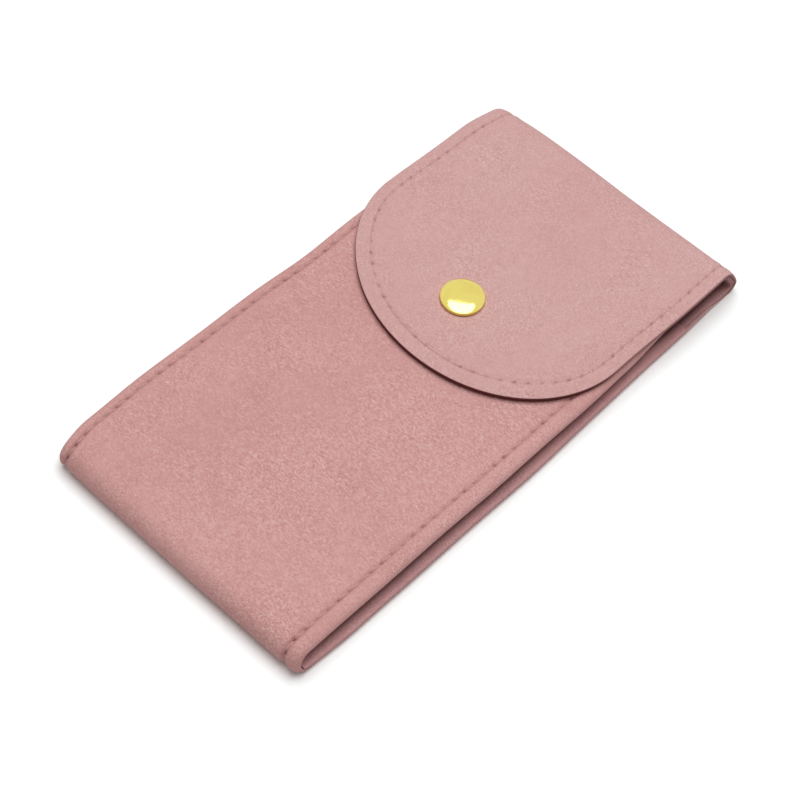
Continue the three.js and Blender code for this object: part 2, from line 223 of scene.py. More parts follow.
def settle(points):
    """Points moved from the frame's straight lines to where soft cloth lies."""
    x, y = points[..., 0], points[..., 1]
    corner = (np.abs(x) / BACK_HALF) ** 5
    moved = points.copy()
    bow = BOW + RIGHT_BOW * smooth(x, -14, 6) + np.where(x < 0, LEFT_CORNER, RIGHT_CORNER) * corner
    moved[..., 1] -= bow * smooth(y, 60, 75)
    moved[..., 1] += LOW_CORNERS * corner * smooth(-y, 52, 76)
    drawn_in = LOW_DRAW * smooth(-y, 46, 74) + LOW_CORNER_DRAW * smooth(-y, 66, 78)
    drawn_in += TOP_DRAW * smooth(y, 58, 74) + WAIST_DRAW * bell(y - 1, 11)
    moved[..., 0] += drawn_in * smooth(-x, 15, 38)
    return moved


def flap_ease(x, s):
    """How far the flap lies to one side and along, and how far its rim sags on the front panel."""
    past = np.clip(s - tongue_start, 0, None)
    leaning = smooth(s, tongue_start - 24, tongue_start - 4)
    aside = mix(NECK_LEAN, LEAN, leaning) * smooth(s, back_length + 2, flap_start) + SKEW * past
    along = -SKEW * x * smooth(s, flap_start, tongue_start)
    reach = np.hypot((x / FLAP_HALF), past / TONGUE_LENGTH)
    return aside, along, RIM_SAG * smooth(reach, 0.72, 1) * smooth(s, tongue_start - 26, tongue_start - 8)


def front_ease(x, s):
    """How far the front panel's right edge spreads outwards."""
    spread = smooth(x, 15, 37) * smooth(s, 2, fold_length) * (1 - smooth(s, mouth_end - 40, mouth_end - 20))
    return FRONT_SPREAD * spread, 0, 0


def neck_stretches():
    """The tight curl, the wall that leans in and the shoulder up to the flap, and their reach along Y."""
    curl, wall = math.radians(CURL_TURN), math.radians(CURL_TURN + WALL_TURN)
    curl_radius, wall_radius = CURL_OUTER - SKIN, WALL_LENGTH / (wall - curl)
    rise = curl_radius * (1 - math.cos(curl)) + wall_radius * (math.cos(curl) - math.cos(wall))
    shoulder_radius = (FLAP_MIDDLE - SKIN - rise) / (1 + math.cos(wall))
    reach = curl_radius * math.sin(curl) + wall_radius * (math.sin(wall) - math.sin(curl))
    shoulder = (shoulder_radius * (math.pi - wall), 180 - CURL_TURN - WALL_TURN)
    stretches = [(curl_radius * curl, CURL_TURN), (WALL_LENGTH, WALL_TURN), shoulder]
    return stretches, reach - shoulder_radius * math.sin(wall)


neck, neck_reach = neck_stretches()
level_start = BACK_END + neck_reach
back_length = BACK_END - PANEL_START
front_length = MOUTH - PANEL_START
fold_length = math.pi * (FRONT_TOP / 2 - SKIN)
level_length = level_start - FLAP_TIP - TONGUE_LENGTH
curl_end = back_length + neck[0][0]
flap_start = back_length + sum(length for length, _ in neck)
tongue_start = flap_start + level_length
mouth_end = fold_length + front_length
tongue_reach = TONGUE_LENGTH + TIP_REACH
upper_path = Path((PANEL_START, SKIN), 0, -1, [(back_length, 0), *neck, (level_length, 0)], flap_ease)
lower_path = Path((PANEL_START, SKIN), 180, 1, [(fold_length, -180), (front_length, 0)], front_ease)


def waver(s):
    return WAVER * (np.sin(s / 9.1) + np.sin(s / 5.3 + 1.2))


def upper_half(s):
    """Half the width of the back, the neck and the flap, narrower towards the bottom fold."""
    y = s + PANEL_START
    back = BACK_HALF + LIP - LIP_FADE * smooth(y, -5, 48) - NECK_FADE * smooth(y, 46, BACK_END)
    half = mix(back, FLAP_HALF - FLAP_SET_IN, smooth(s, back_length - 2, curl_end + 2))
    return half - FOLD_TUCK * (1 - smooth(s, -4, 14)) + waver(s)


def lower_half(s):
    """Half the width of the bottom fold and the front panel."""
    half = mix(upper_half(0), FRONT_HALF, smooth(s, 0, fold_length)) + waver(s) - waver(0)
    return half - FRONT_TUCK * smooth(s, mouth_end - 24, mouth_end - 4)


def turned(s):
    """1 where the strip's edge is turned round the lining, 0 where it is cut."""
    return 1 - smooth(s, back_length - TURN_START, back_length - TURN_END)


def upper_seam(x, s):
    flap = mix(FLAP_SEAM, TIP_SEAM, smooth(s, tongue_start, tongue_start + 25))
    return mix(flap, BODY_SEAM, turned(s))


def lower_seam(x, s):
    return np.where(x > 0, FRONT_RIGHT_SEAM, BODY_SEAM)


# The flat cut of a ply


def rows(*stops, start=0.0):
    """Places of the cross rows, from (end, step) pairs."""
    places = [start]
    for end, step in stops:
        count = max(1, round((end - places[-1]) / step))
        places += list(np.linspace(places[-1], end, count + 1)[1:])
    return np.array(places)


def finer(places, ratio):
    """The same places with each gap cut into equal parts."""
    return np.interp(np.arange(0, (len(places) - 1) * ratio + 1) / ratio, np.arange(len(places)), places)


def filled_grid(top, bottom, right, left):
    """A grid of points filled in between four edge lines."""
    u = np.linspace(0, 1, len(top))[None, :, None]
    v = np.linspace(0, 1, len(right))[:, None, None]
    sides = mix(right[:, None], left[:, None], u)
    ends = mix(top[None], bottom[None], v)
    corners = mix(mix(top[0], top[-1], u), mix(bottom[0], bottom[-1], u), v)
    return sides + ends - corners


class Flat:
    """A ply laid flat: fine rings along its edge and a coarse core, maybe with a round tongue and a hole."""

    def __init__(self, half, seam, places, tongue, ratio, hole=None, far_end="mouth"):
        self.half, self.seam, self.tongue, self.ratio, self.far_end = half, seam, tongue, ratio, far_end
        self.place, self.outward = np.zeros((2, 0, 2))
        self.ring, self.travel = np.zeros(0, int), np.zeros(0)
        self.count, self.faces = 0, []
        self.bands = [self.lay_band(*edge) for edge in self.edges(finer(places, ratio))]
        self.lay_core(places)
        self.join_bands()
        self.loops = [self.outline()]
        if hole:
            self.round_patch(np.array(hole[0]), hole[1])

    def add(self, places, outward=(0.0, 0.0), ring=-1, travel=-1.0):
        """Adds nodes, and returns their numbers in the same grid."""
        shape = places.shape[:-1]
        index = self.count + np.arange(math.prod(shape)).reshape(shape)
        outward = np.broadcast_to(outward, places.shape).reshape(-1, 2)
        self.place = np.concatenate([self.place, places.reshape(-1, 2)])
        self.outward = np.concatenate([self.outward, outward])
        self.ring = np.concatenate([self.ring, np.broadcast_to(ring, shape).reshape(-1)])
        self.travel = np.concatenate([self.travel, np.broadcast_to(travel, shape).reshape(-1)])
        self.count += index.size
        return index

    def add_quads(self, index):
        corners = [index[:-1, :-1], index[1:, :-1], index[1:, 1:], index[:-1, 1:]]
        self.faces += np.stack(corners, axis=-1).reshape(-1, 4).tolist()

    def edges(self, fine):
        """The edge lines with their outward directions: one round the tongue, or one on each side."""
        right = np.stack([self.half(fine), fine], axis=1)
        left = (right * [-1, 1])[::-1]
        to_right = np.tile([1.0, 0.0], (len(fine), 1))
        if not self.tongue:
            return [(right, to_right), (left, -to_right)]
        across, along = right[-1, 0], self.tongue
        count = self.ratio * (CORE_COLUMNS + 2 * TONGUE_ROWS)
        dense = np.linspace(0, math.pi, 4001)
        steps = np.hypot(across * np.sin(dense[1:]), along * np.cos(dense[1:]))
        walked = np.concatenate([[0], np.cumsum(steps)])
        angle = np.interp(np.linspace(0, walked[-1], count + 1), walked, dense)[1:-1]
        round_edge = np.stack([across * np.cos(angle), fine[-1] + along * np.sin(angle)], axis=1)
        round_out = unit(np.stack([np.cos(angle) / across, np.sin(angle) / along], axis=1))
        line, outward = (right, round_edge, left), (to_right, round_out, -to_right)
        return [(np.concatenate(line), np.concatenate(outward))]

    def lay_band(self, edge, outward):
        line = edge - self.seam(edge[:, 0], edge[:, 1])[:, None] * outward
        travel = np.concatenate([[0], np.cumsum(np.linalg.norm(np.diff(line, axis=0), axis=1))])
        places = np.repeat(edge[:, None], RINGS, axis=1)
        index = self.add(places, outward[:, None], np.arange(RINGS)[None], travel[:, None])
        self.add_quads(index[:, ::-1])
        return index

    def lay_core(self, places):
        share = 1 - 2 * np.arange(CORE_COLUMNS + 1) / CORE_COLUMNS
        inner = (self.half(places) - BOARD_SET_IN)[:, None] * share
        grid = np.stack([inner, np.repeat(places[:, None], CORE_COLUMNS + 1, axis=1)], axis=-1)
        if self.tongue:
            nodes = self.bands[0][:: self.ratio, 0]
            ring = self.place[nodes] - BOARD_SET_IN * self.outward[nodes]
            first = len(places) - 1
            turn, far_turn = first + TONGUE_ROWS, first + TONGUE_ROWS + CORE_COLUMNS
            right, bottom = ring[first : turn + 1], ring[turn : far_turn + 1]
            left = ring[far_turn : far_turn + TONGUE_ROWS + 1][::-1]
            grid = np.concatenate([grid, filled_grid(grid[-1], bottom, right, left)[1:]])
        self.core = self.add(grid)
        self.core_grid = grid
        self.add_quads(self.core[:, ::-1])

    def core_edges(self):
        """The core's edge nodes along each band, in the band's direction."""
        right, left = self.core[:, 0], self.core[::-1, -1]
        if self.tongue:
            return [np.concatenate([right, self.core[-1, 1:-1], left])]
        return [right, left]

    def join_bands(self):
        """Triangles between the band's last ring and the coarser core."""
        middle = self.ratio // 2
        for band, inner in zip(self.bands, self.core_edges()):
            for j in range(len(inner) - 1):
                fine = band[self.ratio * j : self.ratio * (j + 1) + 1, -1].tolist()
                near, far = int(inner[j]), int(inner[j + 1])
                self.faces += [[fine[i + 1], fine[i], near] for i in range(middle)]
                self.faces.append([far, fine[middle], near])
                self.faces += [[fine[i + 1], fine[i], far] for i in range(middle, self.ratio)]

    def outline(self):
        """The edge loop: each node's number and whether it is on a side, at the mouth or at the joint."""
        core, right, left = self.core, self.bands[0], self.bands[-1]
        around = [(int(n), "side") for n in right[:, 0]]
        if not self.tongue:
            around += [(int(n), self.far_end) for n in [*right[-1, 1:], *core[-1], *left[0, :0:-1]]]
            around += [(int(n), "side") for n in left[:, 0]]
        start = [*left[-1, 1:], *core[0, ::-1], *right[0, :0:-1]]
        return around + [(int(n), "joint") for n in start]

    def round_patch(self, centre, radius):
        """Rings round the snap in place of a square of the core, down to a round hole."""
        off = np.linalg.norm(self.core_grid - centre, axis=-1)
        row, column = np.unravel_index(off.argmin(), off.shape)
        low, high = -PATCH_CELLS, PATCH_CELLS + 1
        block = self.core[row + low : row + high, column + low : column + high]
        inside = set(block[1:-1, 1:-1].ravel().tolist())
        self.faces = [face for face in self.faces if not inside.intersection(face)]
        border = np.concatenate([block[:-1, 0], block[-1, :-1], block[:0:-1, -1], block[0, :0:-1]])
        at = self.place[border]
        angle = np.arctan2(at[:, 1] - centre[1], at[:, 0] - centre[0])
        circle = centre + radius * np.stack([np.cos(angle), np.sin(angle)], axis=1)
        previous = border
        for share in np.linspace(0, 1, PATCH_RINGS + 1)[1:]:
            ring = self.add(mix(at, circle, share))
            following, ring_following = np.roll(previous, -1), np.roll(ring, -1)
            self.faces += np.stack([previous, ring, ring_following, following], axis=1).tolist()
            previous = ring
        self.loops.append([(int(n), "hole") for n in previous[::-1]])


# Small shapes of the cloth's surface


def seam_relief(off, travel, groove, pit_length):
    """The height of a seam's groove and pits, and how deep in a pit each node is, from 0 to 1."""
    stitches = np.round(travel.max() / PITCH)
    phase = travel / travel.max() * stitches
    along = (phase - np.round(phase)) * PITCH + 0.8 * off
    pit = np.exp(-((along / pit_length) ** 2) - (off / PIT_WIDTH) ** 2)
    uneven = 0.75 + 0.25 * np.sin(4.7 * np.round(phase))
    pit = np.where(travel >= 0, pit * uneven, 0)
    return -groove * bell(off, GROOVE_WIDTH) - PIT_DEPTH * pit, pit


def undulation(place):
    """Low soft waves of the cloth between -1 and 1."""
    x, s = place[:, 0], place[:, 1]
    waves = np.sin(x / 3.9 + 1.3 * np.sin(s / 11.0)) + np.sin(s / 4.7 + 1.1 * np.sin(x / 8.3 + 0.7))
    return (waves + np.sin((x + s) / 6.1) + np.sin((x - 0.6 * s) / 7.9 + 2.0)) / 4


def ring_profiles():
    """Inset and height of the edge rings on both faces, visible one first, for a cut and a turned edge."""
    inner = ROLL_RADIUS - SKIN
    sine, drop = np.sin(ROLL_ANGLES), 1 - np.cos(ROLL_ANGLES)
    cut = (CUT_INSETS, -CUT_DROPS, CUT_INSETS, CUT_DROPS)
    return cut, (ROLL_RADIUS * (1 - sine), -ROLL_RADIUS * drop, ROLL_RADIUS - inner * sine, -inner * drop)


class Ply:
    """One closed sheet of cloth: its flat cut, the path it is folded round and its two faces.

    The turn function says where the edge is turned round the lining (1) and where it is cut (0).
    """

    def __init__(self, flat, path, side, thickness, turn):
        self.flat, self.path, self.side, self.thickness, self.turn = flat, path, side, thickness, turn
        self.presses = path is upper_path
        share = turn(flat.place[:, 1])
        known = np.clip(flat.ring, 0, EDGE_RINGS - 1)
        cut, roll = ring_profiles()
        in_edge = (flat.ring >= 0) & (flat.ring < EDGE_RINGS)
        in_seam = flat.ring >= EDGE_RINGS
        face_inset, self.face_rise, back_inset, self.back_rise = (
            np.where(in_edge, mix(a[known], b[known], share), 0) for a, b in zip(cut, roll)
        )
        seam_inset = flat.seam(flat.place[:, 0], flat.place[:, 1])
        ring_off = SEAM_RINGS[np.clip(flat.ring - EDGE_RINGS, 0, None)]
        seam_part = np.where(in_seam, seam_inset + ring_off, 0)
        self.face_inset, self.back_inset = face_inset + seam_part, back_inset + seam_part
        self.seam_off = np.where(flat.ring >= 0, self.face_inset - seam_inset, NO_SEAM)
        self.face_place = flat.place - self.face_inset[:, None] * flat.outward
        self.back_place = flat.place - self.back_inset[:, None] * flat.outward
        self.shade, self.rim_shade, self.relief, self.pocket = np.zeros((4, flat.count))

    def build(self, name, end=None):
        """The mesh object: the visible face, the hidden face and the rim between them."""
        flat = self.flat
        on_tongue = smooth(flat.place[:, 1], tongue_start - 20, tongue_start)
        pressed = RIM_THINNING * on_tongue * (flat.ring >= 0)
        pressed = pressed * bell(self.face_inset, 1.8) * self.presses
        face_h = self.thickness * (1 - pressed) + self.face_rise + self.relief
        back_h = self.back_rise + self.pocket
        if end is not None:
            face_h = face_h - np.interp(end - self.face_place[:, 1], CUT_INSETS, CUT_DROPS)
            back_h = back_h + np.interp(end - self.back_place[:, 1], CUT_INSETS, CUT_DROPS)
        spots, heights = [self.face_place, self.back_place], [face_h, back_h]
        # The hidden face's edge ring carries painted shade: a dark line in the groove between the plies
        shades = [self.shade, PLY_LINE_SHADE * (flat.ring == 0)]
        faces = flat.faces + [[n + flat.count for n in reversed(face)] for face in flat.faces]
        count = 2 * flat.count
        for loop in flat.loops:
            nodes = np.array([n for n, _ in loop])
            out, is_cut = self.rim_directions(loop, nodes)
            chain = [nodes]
            for step, reach in zip(RIM_STEPS, RIM_BULGE):
                spots.append(mix(self.face_place[nodes], self.back_place[nodes], step) + out * reach)
                heights.append(mix(face_h[nodes], back_h[nodes], step) - (1 - is_cut) * reach * 0.3)
                shades.append(self.rim_shade[nodes])
                chain.append(count + np.arange(len(nodes)))
                count += len(nodes)
            chain.append(nodes + flat.count)
            for upper, lower in zip(chain, chain[1:]):
                faces += np.stack([upper, np.roll(upper, -1), np.roll(lower, -1), lower], axis=1).tolist()
        if (self.side < 0) != (self.path is lower_path):
            faces = [face[::-1] for face in faces]
        points = self.path.fold(np.concatenate(spots), self.side * np.concatenate(heights))
        return make_mesh(name, points, faces, np.concatenate(shades))

    def rim_directions(self, loop, nodes):
        """The way each rim node bulges: out of a cut edge, and nowhere at a joint, hole or turned edge."""
        kind = np.array([k for _, k in loop])
        on_side, on_mouth = kind == "side", kind == "mouth"
        cut = 1 - self.turn(self.flat.place[nodes, 1])
        out = np.where(on_side[:, None], self.flat.outward[nodes] * cut[:, None], 0)
        out[on_mouth] = (0, 1)
        return out, np.where(on_side, cut, 1)


def add_object(name, data):
    thing = bpy.data.objects.new(name, data)
    bpy.context.scene.collection.objects.link(thing)
    return thing


def make_mesh(name, points, faces, shade=None, sharp=60):
    """A smooth shaded object from points in millimetres, with the nodes that no face uses left out."""
    used = np.unique(np.concatenate([np.asarray(face) for face in faces]))
    number = np.full(len(points), -1)
    number[used] = np.arange(len(used))
    number = number.tolist()
    mesh = bpy.data.meshes.new(name)
    mesh.from_pydata((points[used] * MM).tolist(), [], [[number[n] for n in face] for face in faces])
    mesh.polygons.foreach_set("use_smooth", np.ones(len(mesh.polygons), bool))
    mesh.set_sharp_from_angle(angle=math.radians(sharp))
    # The painted shade goes to the material as a point attribute
    if shade is not None:
        layer = mesh.attributes.new("shade", "FLOAT", "POINT")
        layer.data.foreach_set("value", shade[used].astype(np.float32))
    return add_object(name, mesh)


def tube_faces(first, rings, sides):
    """The faces between rings of points, each ring with this many sides."""
    steps = range(first, first + (rings - 1) * sides, sides)
    around = [(k, (k + 1) % sides) for k in range(sides)]
    return [[a + k, a + k + sides, a + n + sides, a + n] for a in steps for k, n in around]


# Materials


class Shader:
    """The node tree of a material or world, with short calls for its nodes."""

    def __init__(self, owner, surface="Principled BSDF"):
        self.owner = owner
        owner.use_nodes = True
        self.tree = owner.node_tree
        self.surface = self.tree.nodes[surface]

    def put(self, socket, value):
        """Links a socket to a value's socket, or sets it to a number, a colour or a vector."""
        if isinstance(value, bpy.types.NodeSocket):
            self.tree.links.new(value, socket)
        elif isinstance(value, tuple):
            socket.default_value = (*value, 1)[: len(socket.default_value)]
        else:
            socket.default_value = value

    def set(self, **inputs):
        for key, value in inputs.items():
            self.put(self.surface.inputs[key.replace("_", " ")], value)

    def node(self, kind, inputs=(), **settings):
        """A new node with these settings and inputs."""
        node = self.tree.nodes.new("ShaderNode" + kind)
        for key, value in settings.items():
            setattr(node, key, value)
        for key, value in dict(inputs).items():
            self.put(node.inputs[key], value)
        return node

    def noise(self, size, detail, roughness, turn=0.0, stretch=1.0):
        """Noise with features of so many millimetres, longer along a line turned from X by some degrees."""
        place = self.node("TexCoord").outputs["Object"]
        if stretch != 1:
            lay = {"Vector": place, "Rotation": (0, 0, math.radians(-turn)), "Scale": (1 / stretch, 1, 1)}
            place = self.node("Mapping", lay).outputs["Vector"]
        inputs = {"Vector": place, "Scale": 1 / (size * MM), "Detail": detail, "Roughness": roughness}
        return self.node("TexNoise", inputs).outputs["Fac"]

    def spread(self, value, low, high, to_low=0.0, to_high=1.0):
        """A value stretched from one range to another, and held there."""
        ends = {"Value": value, "From Min": low, "From Max": high, "To Min": to_low, "To Max": to_high}
        return self.node("MapRange", ends).outputs["Result"]

    def blend(self, share, first, second):
        return self.node("Mix", {0: share, 6: first, 7: second}, data_type="RGBA").outputs[2]

    def bump(self, height, depth, strength):
        """Bump of this many millimetres between the height's 0 and 1."""
        inputs = {"Height": height, "Distance": depth * MM, "Strength": strength}
        self.set(Normal=self.node("Bump", inputs).outputs["Normal"])


def suede_material(name, base, dark, pale, ruffle):
    """Suede: a fine nap, mottling, broad patches of brushed pile, pale flecks and dark specks, darkened
    where the mesh carries painted shade.
    """
    shader = Shader(bpy.data.materials.new(name))
    nap, mottle = shader.noise(0.38, 2.0, 0.6), shader.noise(1.9, 3.0, 0.6)
    patch, brushing = shader.noise(22, 2.0, 0.5), shader.noise(14, 2.0, 0.5)
    brushed = shader.spread(brushing, 0.35, 0.65, 0.5 * ruffle, 1.1 * ruffle)
    colour = shader.blend(shader.spread(patch, 0.35, 0.65), base, pale)
    colour = shader.blend(shader.spread(mottle, 0.30, 0.62, 0.26, 0.0), colour, dark)
    colour = shader.blend(shader.spread(nap, 0.30, 0.55, brushed, 0.0), colour, dark)
    for turn in (35, -50):
        fibre = shader.noise(0.26, 1.0, 0.5, turn, 2.6)
        colour = shader.blend(shader.spread(fibre, 0.56, 0.72, 0.0, brushed), colour, FLECK)
        colour = shader.blend(shader.spread(fibre, 0.27, 0.40, brushed, 0.0), colour, dark)
    # Painted shade: the attribute from the mesh darkens the colour towards a deep maroon in pits, grooves,
    # cut edges, the slot and the neck
    shade = shader.node("Attribute", attribute_name="shade").outputs["Fac"]
    colour = shader.blend(shade, colour, SUEDE_IN_PAINTED_SHADE)
    shader.set(Base_Color=colour, Roughness=0.95, Sheen_Weight=0.08, Sheen_Roughness=0.6)
    shader.set(Sheen_Tint=SHEEN_TINT, Specular_IOR_Level=0.06)
    shader.bump(shader.noise(0.42, 3.0, 0.65), 0.09, 0.8)
    return shader.owner


def fibre_material(name, noise, dark, pale, depth, **surface):
    """A fine fibre between two tones: twisted thread, or pressed board."""
    shader = Shader(bpy.data.materials.new(name))
    fibre = shader.noise(*noise)
    colour = shader.blend(shader.spread(fibre, 0.35, 0.65), dark, pale)
    shader.set(Base_Color=colour, **surface)
    shader.bump(fibre, depth, 0.6)
    return shader.owner


def brass_material():
    """Polished brass with faint stains and fine scratches."""
    shader = Shader(bpy.data.materials.new("polished brass"))
    stain = shader.noise(3.2, 3.0, 0.6)
    colour = shader.blend(shader.spread(stain, 0.45, 0.75), BRASS, BRASS_WORN)
    shader.set(Base_Color=colour, Metallic=1.0, Roughness=shader.spread(stain, 0.35, 0.7, 0.07, 0.13))
    shader.bump(shader.noise(0.5, 3.0, 0.6), 0.01, 0.25)
    return shader.owner


# Colours

SUEDE = (0.66, 0.345, 0.322)
SUEDE_DARK = (0.50, 0.225, 0.21)
SUEDE_PALE = (0.70, 0.385, 0.365)
# The gussets' suede is a cooler mauve: a copy of the body's suede tinted for the cool light of the shaded
# slot
SHADED_GUSSET_SUEDE = (0.64, 0.335, 0.345)
SHADED_GUSSET_SUEDE_DARK = (0.50, 0.225, 0.235)
# The upper strip's suede is paler: partly its own paler cloth, partly painted light for how its reversed nap
# and tilt catch the light
FLAP_SUEDE = (0.68, 0.40, 0.382)
FLAP_SUEDE_DARK = (0.53, 0.265, 0.25)
FLAP_SUEDE_PALE = (0.70, 0.43, 0.415)
# The deep maroon that painted shade darkens the suede towards
SUEDE_IN_PAINTED_SHADE = (0.10, 0.012, 0.014)
FLECK = (0.80, 0.56, 0.54)
SHEEN_TINT = (0.95, 0.62, 0.60)
LINING_BASE = (0.60, 0.32, 0.325)
LINING_DARK = (0.47, 0.225, 0.23)
LINING_PALE = (0.62, 0.35, 0.34)
THREAD_DARK = (0.52, 0.25, 0.24)
THREAD_PALE = (0.64, 0.36, 0.34)
BRASS = (0.80, 0.68, 0.18)
BRASS_WORN = (0.74, 0.60, 0.16)
BOARD_DARK = (0.40, 0.37, 0.32)
BOARD_PALE = (0.55, 0.51, 0.45)

suede = suede_material("dusty rose suede", SUEDE, SUEDE_DARK, SUEDE_PALE, 0.6)
shaded_gusset_suede = suede_material("suede in the fold, tinted for painted shade", SHADED_GUSSET_SUEDE, SHADED_GUSSET_SUEDE_DARK, SUEDE_PALE, 0.5)
flap_suede = suede_material("suede with its nap reversed", FLAP_SUEDE, FLAP_SUEDE_DARK, FLAP_SUEDE_PALE, 0.6)
lining = suede_material("suede lining", LINING_BASE, LINING_DARK, LINING_PALE, 0.4)
thread = fibre_material(
    "twisted thread", (0.12, 2.0, 0.6), THREAD_DARK, THREAD_PALE, depth=0.03,
    Roughness=0.7, Sheen_Weight=0.25, Specular_IOR_Level=0.3,
)
brass = brass_material()
board = fibre_material(
    "pressed board", (0.6, 4.0, 0.7), BOARD_DARK, BOARD_PALE, depth=0.05,
    Roughness=0.9, Specular_IOR_Level=0.2,
)


def dress(thing, material):
    thing.data.materials.append(material)
    return thing


# The strip: its upper stretch is back, neck and flap, cut at the crease; its lower one is fold and front

POST_HOLE = 1.15
SOCKET_HOLE, RIVET_HOLE = SOCKET_RADIUS + 0.2, RIVET_RADIUS + 0.3
MOUTH_ROW = mouth_end - CUT_INSETS[0]
neck_rows = ((curl_end, 0.25), (flap_start, 0.5))
back_rows = rows((back_length - 12, ROW), (back_length, 1.0))
flap_rows = rows(*neck_rows, (tongue_start, ROW), start=back_length)
lower_rows = rows((fold_length, 0.55), (mouth_end - 6, ROW), (mouth_end - 1.2, 0.5), (MOUTH_ROW, 0.26))
back_lining_rows = rows((back_length - 12, LINING_ROW), (back_length, 1.0))
flap_lining_rows = rows(*neck_rows, (tongue_start, LINING_ROW), start=back_length)
lower_lining_rows = rows((fold_length, 0.7), (mouth_end - 6, LINING_ROW), (MOUTH_ROW, 0.6))
snap_run = flap_start + level_start - SNAP[1]
upper_snap = (SNAP[0] - LEAN - SKEW * (snap_run - tongue_start), snap_run)
lower_snap = (SNAP[0], fold_length + SNAP[1] - PANEL_START)


def outer_relief(ply, groove, snap, dent, dent_edge, resting):
    """The outer skin's seams, puffed bands, soft waves and the dent round the snap."""
    body = ply.turn(ply.flat.place[:, 1])
    seam, pit = seam_relief(ply.seam_off, ply.flat.travel, groove, mix(FLAP_PIT, BODY_PIT, body))
    pit = pit * mix(FLAP_PIT_SHADE, BODY_PIT_SHADE, body)
    band = smooth(ply.face_inset, 0.4, 1.4) * bell(ply.seam_off + 1.4, 0.9)
    ridge = bell(ply.seam_off - 1.5, 0.8)
    snap_off = np.linalg.norm(ply.face_place - snap, axis=1)
    dip = -dent * (1 - smooth(snap_off, *dent_edge))
    inner = np.where(ply.flat.ring >= EDGE_RINGS, smooth(ply.face_inset, 1.5, 4), ply.flat.ring < 0)
    waves = WAVES * undulation(ply.face_place) * inner
    ply.relief = seam + (1 - resting) * (PUFF * band + 0.8 * PUFF * ridge + waves) + dip
    # Painted shade in the needle holes and along the groove, partly the pressed nap's own darker tone
    ply.shade = np.clip(pit + 0.45 * groove * bell(ply.seam_off, 0.5), 0, 1)


def board_pocket(ply, node, zero, heading=1):
    """The shallow pocket that the lining leaves for a board: Y 0 lies at the length zero of the path."""
    start, end = sorted(zero + heading * corner[1] for corner in box_mm(node))
    s, fade = ply.back_place[:, 1], 1.5
    start, end = start - BOARD_PLAY, end + BOARD_PLAY
    along = smooth(s, start - fade, start) * (1 - smooth(s, end, end + fade))
    return BOARD_DEPTH * along * (ply.flat.ring < 0)


def cut_shade(s):
    """How dark the flap's cut edge is: partly the raw edge's own darker tone, partly painted shade, pale at
    the neck and dark round the tongue, where it lies close over the front panel.
    """
    at_neck = NECK_EDGE_SHADE * smooth(s, back_length - 4, back_length + 2)
    near_tongue = smooth(s, tongue_start - 6, tongue_start + 10)
    return (1 - turned(s)) * mix(at_neck, TONGUE_EDGE_SHADE, near_tongue)


def fold_pull(s):
    """How much deeper the thread pulls the cloth in at the bottom fold."""
    return FOLD_SINK * (1 - smooth(s, fold_length, fold_length + 6))


def make_upper_skin(name, places, tongue=None, hole=None):
    flat = Flat(upper_half, upper_seam, places, tongue, FINE, hole, "joint")
    ply = Ply(flat, upper_path, 1, SKIN, turned)
    groove = mix(FLAP_GROOVE, BODY_GROOVE, turned(flat.place[:, 1]))
    resting = 1 - smooth(ply.face_place[:, 1], back_length, back_length + 3)
    dent_edge = (CAP_RADIUS - 0.4, CAP_RADIUS + 2.2)
    outer_relief(ply, groove, upper_snap, FLAP_DENT, dent_edge, resting)
    # The cut edge's tone: partly its own, partly painted shade
    ply.rim_shade = cut_shade(flat.place[:, 1])
    return flat, ply.build(name)


def make_lower_skin():
    flat = Flat(lower_half, lower_seam, lower_rows, None, FINE, (lower_snap, POST_HOLE))
    ply = Ply(flat, lower_path, 1, SKIN, np.ones_like)
    s = ply.face_place[:, 1]
    groove = BODY_GROOVE + fold_pull(s)
    dent_edge = (STUD_RADIUS + 0.1, STUD_RADIUS + 1.0)
    outer_relief(ply, groove, lower_snap, FRONT_DENT, dent_edge, 1 - smooth(s, 0, 3))
    between_seams = np.abs(ply.face_place[:, 0]) < FRONT_HALF - FRONT_RIGHT_SEAM
    mouth_off = mouth_end - BODY_SEAM - s
    ply.relief -= BODY_GROOVE * bell(mouth_off, GROOVE_WIDTH) * between_seams
    # Painted shade on the turned edge's rolled underside and on the mouth edge
    ply.rim_shade += MOUTH_EDGE_SHADE
    return flat, ply.build("lower_skin", mouth_end)


def make_upper_lining(name, places, tongue=None, hole=None):
    def half(s):
        return upper_half(s) - mix(PLY_STEP, LINING_SET_IN, turned(s))

    flat = Flat(half, upper_seam, places, tongue, 2, hole, "joint")
    ply = Ply(flat, upper_path, -1, LINING, np.zeros_like)
    ply.relief = -FLAP_GROOVE * bell(ply.seam_off, GROOVE_WIDTH)
    # The cut edge's tone: partly its own, partly painted shade
    ply.rim_shade = cut_shade(flat.place[:, 1])
    s = ply.face_place[:, 1]
    depth = upper_half(s) - np.abs(ply.face_place[:, 0])
    # Painted shade inside the neck: darker deeper in from the edge, where the flap shades the back's lining
    in_neck = smooth(s, back_length - 21, back_length - 18) * (1 - smooth(s, flap_start - 2, flap_start + 8))
    ply.shade = NECK_SHADE * in_neck * smooth(depth, 1.1, 3.7) * (1 - 0.6 * smooth(depth, 7, 12))
    ply.pocket = board_pocket(ply, "back_board", -PANEL_START)
    ply.pocket += board_pocket(ply, "flap_board", flap_start + level_start, -1)
    return flat, ply.build(name)


